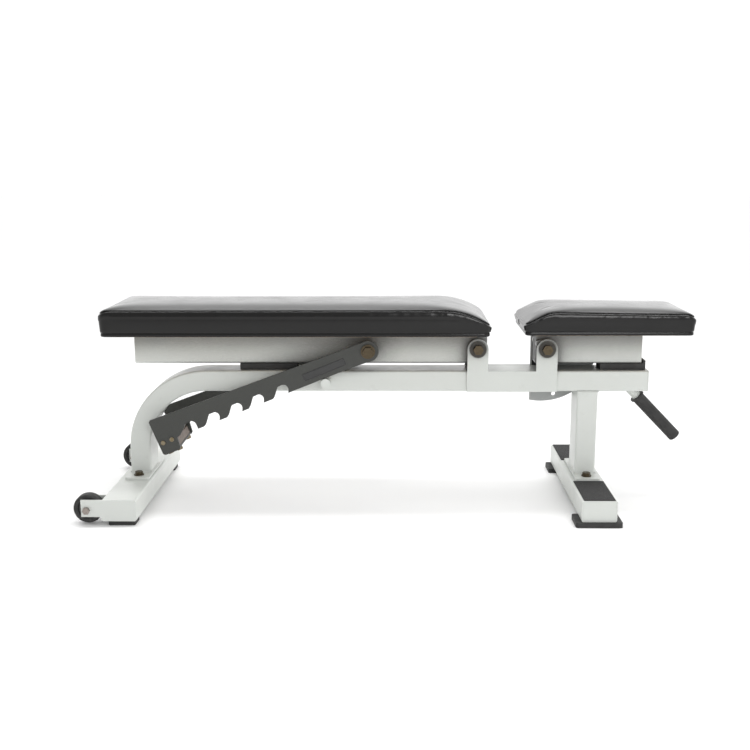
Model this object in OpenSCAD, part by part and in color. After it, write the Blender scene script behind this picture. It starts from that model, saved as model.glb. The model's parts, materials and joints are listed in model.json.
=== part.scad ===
// Adjustable weight bench. X runs along the bench towards the seat end, Y across it, Z up.
// Z = 0 is the floor, and the origin lies under the middle of the bench.

/* [Frame] */
// Width of the steel box tube
tube_w = 80; // [78:1:82]
// Height of the steel box tube
tube_h = 50; // [48:1:52]
// Wall of the box tube
wall = 3; // [2:0.5:4]
// Height of the underside of the long beam
beam_z = 271; // [268:1:274]
// End of the long beam under the seat
beam_end_x = 622; // [615:1:630]
// Outer radius of the bend at the back leg
bend_r = 192; // [185:1:196]
// X of the centre of the bend
bend_x = -436; // [-440:1:-432]

/* [Feet] */
// Length of the cross feet
foot_len = 470; // [440:5:500]
// Thickness of the rubber under the feet
rubber_h = 12; // [10:1:14]
// X of the middle of the front foot and post
front_x = 481; // [478:1:484]
// X of the middle of the back foot
rear_x = -608; // [-612:1:-604]
// Radius of the transport wheels
wheel_r = 33.5; // [30:0.5:34]
// Width of the tyres
tyre_w = 26; // [22:1:28]

/* [Pads] */
// Length of the back pad
back_len = 896; // [880:2:900]
// Width of the back pad
back_w = 260; // [240:5:280]
// Thickness of the back pad over its board and cover
back_t = 68; // [64:1:69]
// Width of the seat pad
seat_w = 222; // [210:2:240]
// Height of the seat pad at its bend
seat_t = 61; // [58:1:62]

/* [Joints] */
// X of the back pad's hinge
back_hinge_x = 217; // [216:1:218]
// X of the seat's hinge
seat_hinge_x = 381; // [380:1:384]
// Height of both hinges
hinge_z = 374; // [373:0.5:375]
// X of the ladder's hinge
ladder_x = -44; // [-46:1:-42]
// Height of the ladder's hinge
ladder_z = 375; // [374:0.5:376]
// Slope of the ladder at rest
ladder_slope = 22; // [21.5:0.5:22]

/* [Hidden] */
$fn = 64;
eps = 0.01;
tall = 400;

// heights
foot_z = rubber_h;
foot_top = foot_z + tube_h;
plate_t = 6;
plate_top = foot_top + plate_t;
beam_top = beam_z + tube_h;
bend_z = beam_top - bend_r;
bend_in = bend_r - tube_h;
leg_x = bend_x - bend_r;
half_w = tube_w / 2;
pad_tube_w = 50;
pad_tube_h = 80;
pad_tube_z = 337;
pad_z = pad_tube_z + pad_tube_h;

// hinge brackets and hardware
ear_r = 25;
ear_t = 5;
ear_out = half_w + ear_t;
liner_t = 2;
liner_in = half_w - liner_t;
bolt_r = 8;
bush_r = 11;
bush_gap = 0.05;
flange_r = 17;
flange_t = 2;
sleeve_r = 18;
side_gap = 0.4;
washer_r = 19.5;
washer_t = 3;
head_t = 9;
head_af = 22;

// long parts of the two pad tubes
back_x0 = -608;
back_x1 = 240;
seat_x0 = 356;
seat_x1 = 609;

// catch pin and the ladder that drops over it
pin_x = -145;
pin_z = 298.5;
pin_r = 11;
ladder_t = 6;
ladder_in = 70;
ladder_out = ladder_in + ladder_t;
notch_r = 12;
last_notch_r = 13;
notch_v = -10;
notch_at = [221, 284.5, 340.5, 400, 461.5];
ladder_end = 553;
ladder_tip = 507;

// seat sector, on the far side of the beam, and its lock
sector_y0 = ear_out + 1.5;
sector_t = 8;
sector_y1 = sector_y0 + sector_t;
sector_r = 146;
lock_ring_r = 132;
lock_angle = -46;
lock_step = 15;
lock_x = seat_hinge_x + lock_ring_r * cos(lock_angle);
lock_z = hinge_z + lock_ring_r * sin(lock_angle);
lock_r = 5;
arm_y0 = sector_y1 + 2;
arm_t = 6;
arm_y1 = arm_y0 + arm_t;

// wheels
wheel_x = -681.5;
wheel_z = 37.5;
wheel_y = 216;
axle_r = 5;
fork_t = 4;
fork_in = 195;

// ---------- shared shapes ----------

// rounded rectangle, centred
module rounded(w, h, r) {
    difference() {
        square([w, h], center = true);
        for (sx = [-1, 1], sy = [-1, 1])
            translate([sx * (w / 2 - r), sy * (h / 2 - r)])
                difference() {
                    translate([sx * (r + 1) / 2, sy * (r + 1) / 2])
                        square(r + 1, center = true);
                    circle(r);
                }
    }
}

// wall of a box tube seen from its end
module tube_ring(w, h) {
    difference() {
        rounded(w, h, 5);
        rounded(w - 2 * wall, h - 2 * wall, 2);
    }
}

// box tube along X, from x0 to x1, with its underside at z
module tube_x(x0, x1, w, h, z) {
    translate([x0, 0, z + h / 2])
        rotate([90, 0, 90])
            linear_extrude(x1 - x0)
                tube_ring(w, h);
}

// box tube along Y, centred, with its underside at z
module tube_y(x, len, w, h, z) {
    translate([x, len / 2, z + h / 2])
        rotate([90, 0, 0])
            linear_extrude(len)
                tube_ring(w, h);
}

// plate along Y, from y0 to y1, of an outline drawn in X and Z
module plate_y(y0, y1) {
    translate([0, y1, 0])
        rotate([90, 0, 0])
            linear_extrude(y1 - y0)
                children();
}

// rod along Y, from y0 to y1, about the point x, z
module rod_y(x, z, r, y0, y1) {
    translate([x, y1, z])
        rotate([90, 0, 0])
            cylinder(r = r, h = y1 - y0);
}

// ring along Y, from y0 to y1
module ring_y(x, z, r_out, r_in, y0, y1) {
    difference() {
        rod_y(x, z, r_out, y0, y1);
        rod_y(x, z, r_in, y0 - 1, y1 + 1);
    }
}

// hexagon along Y, from y0 to y1, with a given width across its flats
module hex_y(x, z, af, y0, y1) {
    translate([x, y1, z])
        rotate([90, 0, 0])
            cylinder(d = af / cos(30), h = y1 - y0, $fn = 6);
}

// points of an arc about c, from angle a0 to a1
function arc(c, r, a0, a1, n = 12) =
    [for (i = [0:n]) c + r * [cos(a0 + (a1 - a0) * i / n), sin(a0 + (a1 - a0) * i / n)]];

// ---------- frame ----------

module main_beam() {
    color("gainsboro")
    difference() {
        union() {
            tube_x(bend_x, beam_end_x, tube_w, tube_h, beam_z);
            translate([bend_x, 0, bend_z])
                rotate([90, 0, 0])
                    rotate([0, 0, 90])
                        rotate_extrude(angle = 90, $fn = 128)
                            translate([bend_r - tube_h / 2, 0])
                                rotate(90)
                                    tube_ring(tube_w, tube_h);
            translate([leg_x + tube_h / 2, 0, plate_top])
                linear_extrude(bend_z - plate_top)
                    rotate(90)
                        tube_ring(tube_w, tube_h);
        }
        rod_y(pin_x, pin_z, pin_r, -tube_w, tube_w);
    }
}

module beam_end_cap() {
    color("gainsboro")
    translate([beam_end_x - 15, 0, beam_z + tube_h / 2])
        rotate([90, 0, 90]) {
            linear_extrude(15)
                rounded(tube_w - 2 * wall, tube_h - 2 * wall, 2);
            translate([0, 0, 15])
                linear_extrude(3)
                    rounded(tube_w, tube_h, 5);
        }
}

module front_post() {
    color("gainsboro")
    translate([front_x, 0, plate_top])
        linear_extrude(beam_z - plate_top)
            rotate(90)
                tube_ring(tube_w, tube_h);
}

base_len = 176;
base_w = 58;
bolt_y = 64;

module base_plate(x) {
    color("gainsboro")
    difference() {
        translate([x, 0, foot_top])
            linear_extrude(plate_t)
                rounded(base_w, base_len, 6);
        for (s = [-1, 1])
            translate([x, s * bolt_y, foot_top - 1])
                cylinder(r = 5.5, h = plate_t + 2);
    }
}

module front_base_plate() { base_plate(front_x); }
module rear_base_plate() { base_plate(leg_x + tube_h / 2); }

// a cross foot with its two bolt holes in the top wall
module cross_foot(x, bolt_x) {
    color("gainsboro")
    difference() {
        tube_y(x, foot_len, tube_w, tube_h, foot_z);
        for (s = [-1, 1])
            translate([bolt_x, s * bolt_y, foot_top - 2 * wall])
                cylinder(r = 5.5, h = 3 * wall);
    }
}

module front_foot() { cross_foot(front_x, front_x); }
module rear_foot() { cross_foot(rear_x, leg_x + tube_h / 2); }

// plugs welded into the ends of the front foot
module front_end_plates() {
    color("gainsboro")
    for (s = [-1, 1])
        translate([front_x, s * (foot_len / 2 - 2), foot_z + tube_h / 2])
            rotate([90, 0, 0])
                translate([0, 0, -2])
                    linear_extrude(4)
                        rounded(tube_w - 2 * wall, tube_h - 2 * wall, 2);
}

// outer end plate of the back foot, with an arm that reaches past the wheel's axle
module fork_outline() {
    foot_x0 = rear_x - half_w;
    difference() {
        union() {
            translate([rear_x, foot_z + tube_h / 2])
                rounded(tube_w, tube_h, 5);
            translate([wheel_x - 12.5, foot_z + 10])
                square([foot_x0 - wheel_x + 20, tube_h - 10]);
        }
        translate([wheel_x, wheel_z])
            circle(axle_r);
    }
}

module wheel_fork(s) {
    outer = foot_len / 2;
    color("gainsboro") {
        translate([0, s < 0 ? -outer : outer + fork_t, 0])
            rotate([90, 0, 0])
                linear_extrude(fork_t)
                    fork_outline();
        difference() {
            translate([wheel_x - 12.5, s < 0 ? -fork_in : fork_in - fork_t, foot_z + 12])
                cube([rear_x - half_w - wheel_x + 12.5, fork_t, tube_h - 14]);
            rod_y(wheel_x, wheel_z, axle_r, -tall, tall);
        }
    }
}

module wheel_fork_near() { wheel_fork(-1); }
module wheel_fork_far() { wheel_fork(1); }

// bolt through both fork plates, with its nut inside
module wheel_axle(s) {
    outer = foot_len / 2 + fork_t;
    inner = fork_in - fork_t;
    color("rosybrown")
    mirror([0, s < 0 ? 1 : 0, 0]) {
        rod_y(wheel_x, wheel_z, axle_r, inner - 12, outer + 1);
        hex_y(wheel_x, wheel_z, 15, outer, outer + 6);
        ring_y(wheel_x, wheel_z, 9, axle_r, inner - 1.5, inner);
        hex_y(wheel_x, wheel_z, 15, inner - 9.5, inner - 1.5);
    }
}

module wheel_axle_near() { wheel_axle(-1); }
module wheel_axle_far() { wheel_axle(1); }

// tyre with rounded shoulders, turned about the axle
module wheel_tyre(s) {
    r_in = 21;
    color("black")
    translate([wheel_x, s * wheel_y, wheel_z])
        rotate([90, 0, 0])
            rotate_extrude()
                translate([(wheel_r + r_in) / 2, 0])
                    rounded(wheel_r - r_in, tyre_w, 5);
}

module wheel_tyre_near() { wheel_tyre(-1); }
module wheel_tyre_far() { wheel_tyre(1); }

// plastic hub with a running bore on the axle
module wheel_hub(s) {
    hub_w = 36;
    bore = axle_r + bush_gap;
    color("dimgray")
    translate([wheel_x, s * wheel_y, wheel_z])
        rotate([90, 0, 0])
            rotate_extrude()
                union() {
                    translate([bore, -hub_w / 2])
                        square([6, hub_w]);
                    translate([bore + 5, -4])
                        square([21 - bore - 5, 8]);
                    translate([17, -10])
                        square([4, 20]);
                }
}

module wheel_hub_near() { wheel_hub(-1); }
module wheel_hub_far() { wheel_hub(1); }

// rubber slab under an end of the front foot
module front_rubber(s) {
    slab_w = 106;
    slab_l = 65;
    color("black")
    translate([front_x, s * (foot_len / 2 + 6 - slab_l / 2), 0])
        linear_extrude(rubber_h)
            rounded(slab_w, slab_l, 6);
}

module front_rubber_near() { front_rubber(-1); }
module front_rubber_far() { front_rubber(1); }

// rubber block under an end of the back foot
module rear_rubber(s) {
    block_w = 62;
    block_l = 40;
    color("black")
    translate([rear_x + 4, s * (foot_len / 2 - 3 - block_l / 2), 0])
        linear_extrude(rubber_h)
            rounded(block_w, block_l, 4);
}

module rear_rubber_near() { rear_rubber(-1); }
module rear_rubber_far() { rear_rubber(1); }

// anti-slip sheet on top of the front foot, between the base plate and the foot's end
module grip_sheet(s) {
    sheet_t = 1.5;
    y0 = base_len / 2 + 1;
    y1 = foot_len / 2 - 1;
    color("darkslategray")
    translate([front_x, s * (y0 + y1) / 2, foot_top])
        linear_extrude(sheet_t)
            rounded(tube_w - 8, y1 - y0, 3);
}

module grip_sheet_near() { grip_sheet(-1); }
module grip_sheet_far() { grip_sheet(1); }

// four bolts that hold the post and the back leg on their feet
module base_bolts() {
    color("saddlebrown")
    for (x = [front_x, leg_x + tube_h / 2], s = [-1, 1])
        translate([x, s * bolt_y, 0]) {
            translate([0, 0, foot_top - 14])
                cylinder(r = 5, h = 14 + plate_t + 1);
            translate([0, 0, plate_top])
                cylinder(r = 12, h = 2);
            translate([0, 0, plate_top + 2])
                cylinder(d = 17 / cos(30), h = 7, $fn = 6);
        }
}

// nuts inside the feet
module base_nuts() {
    color("silver")
    for (x = [front_x, leg_x + tube_h / 2], s = [-1, 1])
        translate([x, s * bolt_y, foot_top - wall - 8])
            difference() {
                cylinder(d = 17 / cos(30), h = 8, $fn = 6);
                translate([0, 0, -1])
                    cylinder(r = 5, h = 10);
            }
}

// ---------- hinge brackets ----------

// one ear, with its round top about a hinge
module ear(x) {
    translate([x, hinge_z])
        circle(ear_r);
    translate([x - ear_r, beam_top - 1])
        square([2 * ear_r, hinge_z - beam_top + 1]);
}

module hinge_bracket(s) {
    x0 = back_hinge_x - ear_r - 1;
    x1 = seat_hinge_x + ear_r;
    color("gainsboro")
    difference() {
        plate_y(s < 0 ? -ear_out : half_w, s < 0 ? -half_w : ear_out)
            union() {
                ear(back_hinge_x);
                ear(seat_hinge_x);
                translate([x0, beam_z])
                    square([x1 - x0, tube_h]);
            }
        for (x = [back_hinge_x, seat_hinge_x])
            rod_y(x, hinge_z, bolt_r, -tube_w, tube_w);
    }
}

module hinge_bracket_near() { hinge_bracket(-1); }
module hinge_bracket_far() { hinge_bracket(1); }

// black side liners inside the four ears
module bracket_liners() {
    color("black")
    for (s = [-1, 1], x = [back_hinge_x, seat_hinge_x])
        difference() {
            plate_y(s < 0 ? -half_w : liner_in, s < 0 ? -liner_in : half_w)
                difference() {
                    ear(x);
                    translate([x - tube_h, beam_z])
                        square([2 * tube_h, tube_h]);
                }
            rod_y(x, hinge_z, bolt_r, -tube_w, tube_w);
        }
}

// hex bolt through a hinge, with the head on the near side
module hinge_bolt(x, z, grip) {
    color("darkgoldenrod") {
        rod_y(x, z, bolt_r, -grip - 1, grip + 16);
        hex_y(x, z, head_af, -grip - head_t, -grip);
    }
}

module back_pivot_bolt() { hinge_bolt(back_hinge_x, hinge_z, ear_out + washer_t); }
module seat_pivot_bolt() { hinge_bolt(seat_hinge_x, hinge_z, ear_out + washer_t); }

module pivot_washers() {
    color("darkslategray")
    for (x = [back_hinge_x, seat_hinge_x], s = [-1, 1])
        ring_y(x, hinge_z, washer_r, bolt_r,
            s < 0 ? -ear_out - washer_t : ear_out, s < 0 ? -ear_out : ear_out + washer_t);
}

module pivot_nuts() {
    color("darkgoldenrod")
    for (x = [back_hinge_x, seat_hinge_x])
        difference() {
            hex_y(x, hinge_z, head_af, ear_out + washer_t, ear_out + washer_t + 13);
            rod_y(x, hinge_z, bolt_r, 0, tube_w);
        }
}

// steel pin across the beam that the ladder's notches drop over
module catch_pin() {
    color("gainsboro")
    rod_y(pin_x, pin_z, pin_r, -ladder_out - 4, ladder_out + 4);
}

module back_bumper() {
    color("black")
    translate([-354, -pad_tube_w / 2, beam_top])
        cube([137, pad_tube_w, pad_tube_z - beam_top]);
}

// rubber buffer under the seat tube, with a lip past its end
module seat_bumper() {
    x0 = 511;
    lip_x = seat_x1 + 4;
    lip_t = 6;
    lip_h = 7;
    color("black")
    plate_y(-pad_tube_w / 2, pad_tube_w / 2)
        polygon([[x0, beam_top], [lip_x + lip_t, beam_top], [lip_x + lip_t, pad_tube_z + lip_h],
            [lip_x, pad_tube_z + lip_h], [lip_x, pad_tube_z], [x0, pad_tube_z]]);
}

// ---------- transport handle ----------

handle_x = 592;
handle_z = 268;
handle_slope = 46;
rod_r = 11;
grip_r = 15;
grip_from = 22;
grip_len = 142;

// puts its children along the sloping handle
module on_handle() {
    translate([handle_x, 0, handle_z])
        rotate([0, 90 + handle_slope, 0])
            children();
}

module handle_rod() {
    color("gainsboro")
    intersection() {
        on_handle()
            translate([0, 0, -30])
                cylinder(r = rod_r, h = 30 + grip_from + grip_len - 6);
        translate([-tall, -tall, 0])
            cube([3 * tall, 2 * tall, beam_z]);
    }
}

module handle_grip() {
    color("black")
    on_handle()
        rotate_extrude()
            difference() {
                union() {
                    translate([0, grip_from])
                        square([grip_r, grip_len - 4]);
                    translate([0, grip_from + grip_len - 4 - eps])
                        square([grip_r - 4, 4 + eps]);
                    translate([grip_r - 4, grip_from + grip_len - 4])
                        intersection() {
                            circle(4);
                            square(4);
                        }
                    translate([0, grip_from])
                        square([grip_r + 3, 4]);
                }
                translate([-1, grip_from - 1])
                    square([rod_r + 1, grip_len - 5]);
            }
}

// ---------- back rest ----------

module back_tube() {
    color("gainsboro")
    difference() {
        tube_x(back_x0, back_x1, pad_tube_w, pad_tube_h, pad_tube_z);
        rod_y(back_hinge_x, hinge_z, sleeve_r, -tube_w, tube_w);
        rod_y(ladder_x, ladder_z, sleeve_r, -tube_w, tube_w);
    }
}

// plastic plugs in the ends of a pad tube
module tube_plugs(x0, x1) {
    plug = 4;
    for (s = [0, 1])
        translate([s == 0 ? x0 : x1 - plug, 0, pad_tube_z + pad_tube_h / 2])
            rotate([90, 0, 90])
                linear_extrude(plug)
                    rounded(pad_tube_w - 2 * wall, pad_tube_h - 2 * wall, 2);
}

module back_tube_cap() {
    color("dimgray")
    tube_plugs(back_x0, back_x1);
}

// steel sleeve across a pad tube, stopped short of its bushes' flanges
module hinge_sleeve(x, z, half) {
    color("silver")
    ring_y(x, z, sleeve_r, bush_r, -half, half);
}

module back_sleeve() { hinge_sleeve(back_hinge_x, hinge_z, liner_in - side_gap - flange_t); }
module ladder_sleeve() { hinge_sleeve(ladder_x, ladder_z, ladder_in - side_gap); }

// pair of flanged bushes that run on a hinge bolt
module hinge_bushes(x, z) {
    y_out = liner_in - side_gap;
    r_in = bolt_r + bush_gap;
    for (s = [-1, 1])
        mirror([0, s < 0 ? 1 : 0, 0]) {
            ring_y(x, z, bush_r, r_in, y_out - 22, y_out);
            ring_y(x, z, flange_r, r_in, y_out - flange_t, y_out);
        }
}

module back_bushes() {
    color("darkkhaki")
    hinge_bushes(back_hinge_x, hinge_z);
}

ladder_head_y = ladder_out + 1.5 + side_gap;

// ladder bolt, fixed in the back tube's sleeve, with washers and a nut outside the plates
module ladder_bolt() {
    color("darkgoldenrod") {
        hinge_bolt(ladder_x, ladder_z, ladder_head_y + washer_t);
        hex_y(ladder_x, ladder_z, head_af, ladder_head_y + washer_t, ladder_head_y + 16);
        for (s = [-1, 1])
            rod_y(ladder_x, ladder_z, 17, s < 0 ? -ladder_head_y - washer_t : ladder_head_y,
                s < 0 ? -ladder_head_y : ladder_head_y + washer_t);
        for (s = [-1, 1])
            rod_y(ladder_x, ladder_z, bush_r, s < 0 ? -ladder_in + 8 : 30,
                s < 0 ? -30 : ladder_in - 8);
    }
}

board_t = 15;
board_in = 7;
back_pad_x1 = 240;
back_pad_x0 = back_pad_x1 - back_len;

// side of the back pad: square at the head end, and rolled down at the hinge end
module back_side(inset) {
    top = pad_z + back_t - inset;
    roll_x = 130;
    roll_r = 182 - inset;
    roll_c = [roll_x, top - roll_r];
    end_x = back_pad_x1 - inset;
    polygon(concat(
        [[back_pad_x0 + inset, pad_z], [back_pad_x0 + inset, top - 12]],
        arc([back_pad_x0 + 12 + inset, top - 12], 12, 180, 90, 6),
        arc(roll_c, roll_r, 90, acos((end_x - roll_x) / roll_r), 16),
        [[end_x - 10, pad_z]]));
}

module back_pad() {
    color("black")
    difference() {
        intersection() {
            plate_y(-back_w / 2, back_w / 2)
                back_side(0);
            translate([(back_pad_x0 + back_pad_x1) / 2, 0, pad_z])
                linear_extrude(tall)
                    rounded(back_len, back_w, 20);
        }
        translate([0, 0, pad_z - 1])
            linear_extrude(board_t + 1)
                back_plan();
    }
}

// outline of the back pad's plywood board
module back_plan() {
    translate([(back_pad_x0 + back_pad_x1 - 12) / 2, 0])
        rounded(back_len - 12 - 2 * board_in, back_w - 2 * board_in, 16);
}

module back_board() {
    color("burlywood")
    translate([0, 0, pad_z])
        linear_extrude(board_t)
            back_plan();
}

tab_w = 40;
tab_out = 62;
tab_t = 4;

// steel tabs beside a pad tube and the screws that hold the board down
module pad_fixings(xs) {
    for (x = xs, s = [-1, 1])
        mirror([0, s < 0 ? 1 : 0, 0]) {
            translate([x - tab_w / 2, pad_tube_w / 2, pad_z - tab_t])
                cube([tab_w, tab_out - pad_tube_w / 2, tab_t]);
            translate([x, tab_out - 14, pad_z - tab_t - 5])
                cylinder(r = 7, h = 5 + eps);
        }
}

module back_screws() {
    color("dimgray")
    pad_fixings([-560, -250, 80]);
}

// ---------- ladder ----------

// puts its children in the ladder's own frame: X runs down the ladder from its hinge
module on_ladder() {
    translate([ladder_x, ladder_z])
        rotate(180 + ladder_slope)
            mirror([0, 1])
                children();
}

// one notch: a round seat with a hooked lip on the hinge side, slanted on the other side
module notch(u, last = false) {
    r = last ? last_notch_r : notch_r;
    lip = last ? [[-r, 0], [-r, -50]] : [[-10.7, -5.5], [12, -50]];
    ramp = last ?
        [[40, -50], [42, -12.5], [33, -9.5], [20, 1.5], [12, 10]] :
        [[38, -50], [36, -12.6], [31, -11.3], [27.5, -9], [24, -5.5], [13, 8.3], [9, 11.4]];
    translate([u, notch_v]) {
        circle(r);
        polygon(concat(lip, ramp, [[0, r]]));
    }
}

module ladder_outline() {
    top0 = ear_r - 1;
    top1 = 40;
    low = -22;
    foot = -52;
    round_r = 7;
    difference() {
        union() {
            circle(ear_r);
            polygon(concat(
                [[0, top0], [0, 1 - ear_r], [60, low + 0.5], [ladder_tip - 3, low]],
                arc([ladder_tip + round_r, foot + round_r], round_r, 180, 270, 6),
                arc([ladder_end - round_r, foot + round_r], round_r, 270, 360, 6),
                [[ladder_end, top1 - 4], [ladder_end - 4, top1]]));
        }
        for (i = [0:4])
            notch(notch_at[i], i == 4);
    }
}

module ladder_plate(y0) {
    color("dimgray")
    difference() {
        plate_y(y0, y0 + ladder_t)
            on_ladder()
                ladder_outline();
        rod_y(ladder_x, ladder_z, bush_r, -tall, tall);
        for (u = channel_screws)
            on_ladder_y(u, -22, y0 - 1, y0 + ladder_t + 1, 3);
    }
}

channel_screws = [518, 541];

// rod along Y at a place in the ladder's own frame
module on_ladder_y(u, v, y0, y1, r) {
    x = ladder_x - u * cos(ladder_slope) - v * sin(ladder_slope);
    z = ladder_z - u * sin(ladder_slope) + v * cos(ladder_slope);
    rod_y(x, z, r, y0, y1);
}

module ladder_near() { ladder_plate(-ladder_out); }
module ladder_far() { ladder_plate(ladder_in); }

module ladder_bushes() {
    r_in = bolt_r + bush_gap;
    color("darkkhaki")
    for (s = [-1, 1])
        mirror([0, s < 0 ? 1 : 0, 0]) {
            ring_y(ladder_x, ladder_z, bush_r, r_in, ladder_in, ladder_out + 1.5);
            ring_y(ladder_x, ladder_z, 15, r_in, ladder_out, ladder_out + 1.5);
        }
}

chan_u0 = 511;
chan_u1 = 549;
chan_low = -50;
chan_t = 4;

// box in the ladder's own frame
module ladder_box(u0, u1, v0, v1, y0, y1) {
    plate_y(y0, y1)
        on_ladder()
            translate([u0, v0])
                square([u1 - u0, v1 - v0]);
}

// folded steel channel that ties the two plates together at their free end
module ladder_channel() {
    color("dimgray")
    difference() {
        union() {
            ladder_box(chan_u0, chan_u1, chan_low, chan_low + chan_t, -ladder_in, ladder_in);
            for (s = [-1, 1])
                ladder_box(chan_u0, chan_u1, chan_low, -12,
                    s < 0 ? -ladder_in : ladder_in - chan_t,
                    s < 0 ? -ladder_in + chan_t : ladder_in);
        }
        for (u = channel_screws)
            on_ladder_y(u, -22, -tall, tall, 3);
    }
}

block_low = chan_low + chan_t;
block_top = -27;

// weight block that makes the ladder drop into its notches
module ladder_block() {
    color("rosybrown")
    ladder_box(chan_u0 + 1, chan_u1 - 1, block_low, block_top,
        -ladder_in + chan_t, ladder_in - chan_t);
}

// side screws through the plates and bolt heads under the channel
module ladder_fasteners() {
    side = ladder_in - chan_t;
    color("goldenrod") {
        for (s = [-1, 1], u = channel_screws)
            mirror([0, s < 0 ? 1 : 0, 0]) {
                on_ladder_y(u, -22, side - 5, ladder_out + 1, 3);
                on_ladder_y(u, -22, ladder_out, ladder_out + 2.5, 5.5);
                on_ladder_y(u, -22, side - 4, side, 5);
            }
        for (s = [-1, 1], u = [517, 541])
            translate([ladder_x, s * 50, ladder_z])
                rotate([0, -ladder_slope, 0])
                    translate([-u, 0, chan_low - 7])
                        cylinder(d = 13 / cos(30), h = 7, $fn = 6);
    }
}

// ---------- seat ----------

module seat_tube() {
    color("gainsboro")
    difference() {
        union() {
            tube_x(seat_x0, seat_x1, pad_tube_w, pad_tube_h, pad_tube_z);
            seat_lugs();
        }
        rod_y(seat_hinge_x, hinge_z, sleeve_r, -tube_w, tube_w);
    }
}

// round lugs on the sides of the seat tube, just ahead of the hinge
module seat_lugs() {
    lug_r = 10;
    for (s = [-1, 1])
        rod_y(seat_hinge_x - 16, hinge_z + 12, lug_r,
            s < 0 ? -liner_in + 1 : pad_tube_w / 2 - wall, s < 0 ? -pad_tube_w / 2 + wall : liner_in - 1);
}

module seat_tube_cap() {
    color("dimgray")
    tube_plugs(seat_x0, seat_x1);
}

module seat_sleeve() {
    hinge_sleeve(seat_hinge_x, hinge_z, liner_in - side_gap - flange_t);
    color("darkkhaki")
        hinge_bushes(seat_hinge_x, hinge_z);
}

// plate beside the beam with lock holes on an arc about the seat's hinge, and the flange
// that joins it to the seat tube beyond the bracket's ear
module seat_sector() {
    c = [seat_hinge_x, hinge_z];
    left = 353.6;
    right = 520;
    top = 406;
    flange_h = 8;
    flange_x = c[0] + ear_r + 4;
    edge_a = acos((left - c[0]) / sector_r);
    color("darkgray")
    difference() {
        union() {
            plate_y(sector_y0, sector_y1)
                polygon(concat(
                    [[left, top]],
                    arc(c, sector_r, -edge_a, lock_angle, 20),
                    [[right, 345], [right, 380], [right - 20, top]]));
            plate_y(pad_tube_w / 2, sector_y0)
                translate([flange_x, top - flange_h])
                    square([right - 20 - flange_x, flange_h]);
        }
        rod_y(c[0], c[1], washer_r + 3.5, pad_tube_w / 2, tube_w);
        for (i = [0:2]) {
            a = lock_angle - i * lock_step;
            rod_y(c[0] + lock_ring_r * cos(a), c[1] + lock_ring_r * sin(a),
                lock_r + 0.3, pad_tube_w / 2, tube_w);
        }
    }
}

// side of the seat pad, bevelled at the front and sloping gently down to the back
module seat_side(inset) {
    top = pad_z + seat_t - inset;
    polygon(concat(
        [[323 + inset, pad_z], [316.5 + inset, 444], [372, top - 1]],
        [[384, top], [688 - inset, top - 5]],
        arc([694 - inset, top - 17], 12, 80, 10, 6),
        [[697 - inset, pad_z]]));
}

seat_pad_x0 = 316.5;
seat_pad_x1 = 706;

module seat_pad() {
    color("black")
    difference() {
        intersection() {
            plate_y(-seat_w / 2, seat_w / 2)
                seat_side(0);
            translate([(seat_pad_x0 + seat_pad_x1) / 2, 0, pad_z])
                linear_extrude(tall)
                    rounded(seat_pad_x1 - seat_pad_x0, seat_w, 16);
        }
        translate([0, 0, pad_z - 1])
            linear_extrude(board_t + 1)
                seat_plan();
    }
}

module seat_plan() {
    x0 = 331;
    x1 = 689;
    translate([(x0 + x1) / 2, 0])
        rounded(x1 - x0, seat_w - 2 * board_in, 12);
}

module seat_board() {
    color("burlywood")
    translate([0, 0, pad_z])
        linear_extrude(board_t)
            seat_plan();
}

module seat_screws() {
    color("dimgray")
    pad_fixings([472, 572]);
}

// ---------- seat lock ----------

// arm that stands off the far side of the beam, and the tube that holds the lock pin
module lock_housing() {
    arm_x1 = 530;
    arm_h = 30;
    foot_w = 14;
    color("gainsboro")
    difference() {
        union() {
            translate([lock_x - 14, arm_y0, lock_z - 12])
                cube([arm_x1 - lock_x + 14, arm_t, arm_h]);
            translate([arm_x1 - foot_w, half_w, lock_z - 3])
                cube([foot_w, arm_y0 - half_w, arm_h - 9]);
            rod_y(lock_x, lock_z, 11, arm_y1 - 1, arm_y1 + 30);
        }
        rod_y(lock_x, lock_z, lock_r + bush_gap, 0, 2 * tube_w);
        rod_y(lock_x, lock_z, 8.5, arm_y1 + 2, arm_y1 + 27);
    }
}

// pin with its collar and pull knob
module lock_pin() {
    collar_y = arm_y1 + 2.5;
    knob_y = arm_y1 + 30.5;
    color("silver") {
        rod_y(lock_x, lock_z, lock_r, sector_y1 + 0.6, knob_y + 8);
        rod_y(lock_x, lock_z, 8, collar_y, collar_y + 3);
    }
    color("black") {
        rod_y(lock_x, lock_z, 9, knob_y, knob_y + 6);
        rod_y(lock_x, lock_z, 14, knob_y + 6 - eps, knob_y + 22);
    }
}

main_beam();
beam_end_cap();
front_post();
front_base_plate();
rear_base_plate();
front_foot();
rear_foot();
front_end_plates();
wheel_fork_near();
wheel_fork_far();
wheel_axle_near();
wheel_axle_far();
wheel_tyre_near();
wheel_tyre_far();
wheel_hub_near();
wheel_hub_far();
front_rubber_near();
front_rubber_far();
rear_rubber_near();
rear_rubber_far();
grip_sheet_near();
grip_sheet_far();
base_bolts();
base_nuts();
hinge_bracket_near();
hinge_bracket_far();
bracket_liners();
back_pivot_bolt();
seat_pivot_bolt();
pivot_washers();
pivot_nuts();
catch_pin();
back_bumper();
seat_bumper();
handle_rod();
handle_grip();
back_tube();
back_tube_cap();
back_sleeve();
back_bushes();
ladder_sleeve();
ladder_bolt();
back_board();
back_pad();
back_screws();
ladder_near();
ladder_far();
ladder_bushes();
ladder_channel();
ladder_block();
ladder_fasteners();
seat_tube();
seat_tube_cap();
seat_sleeve();
seat_board();
seat_pad();
seat_screws();
seat_sector();
lock_housing();
lock_pin();
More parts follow.
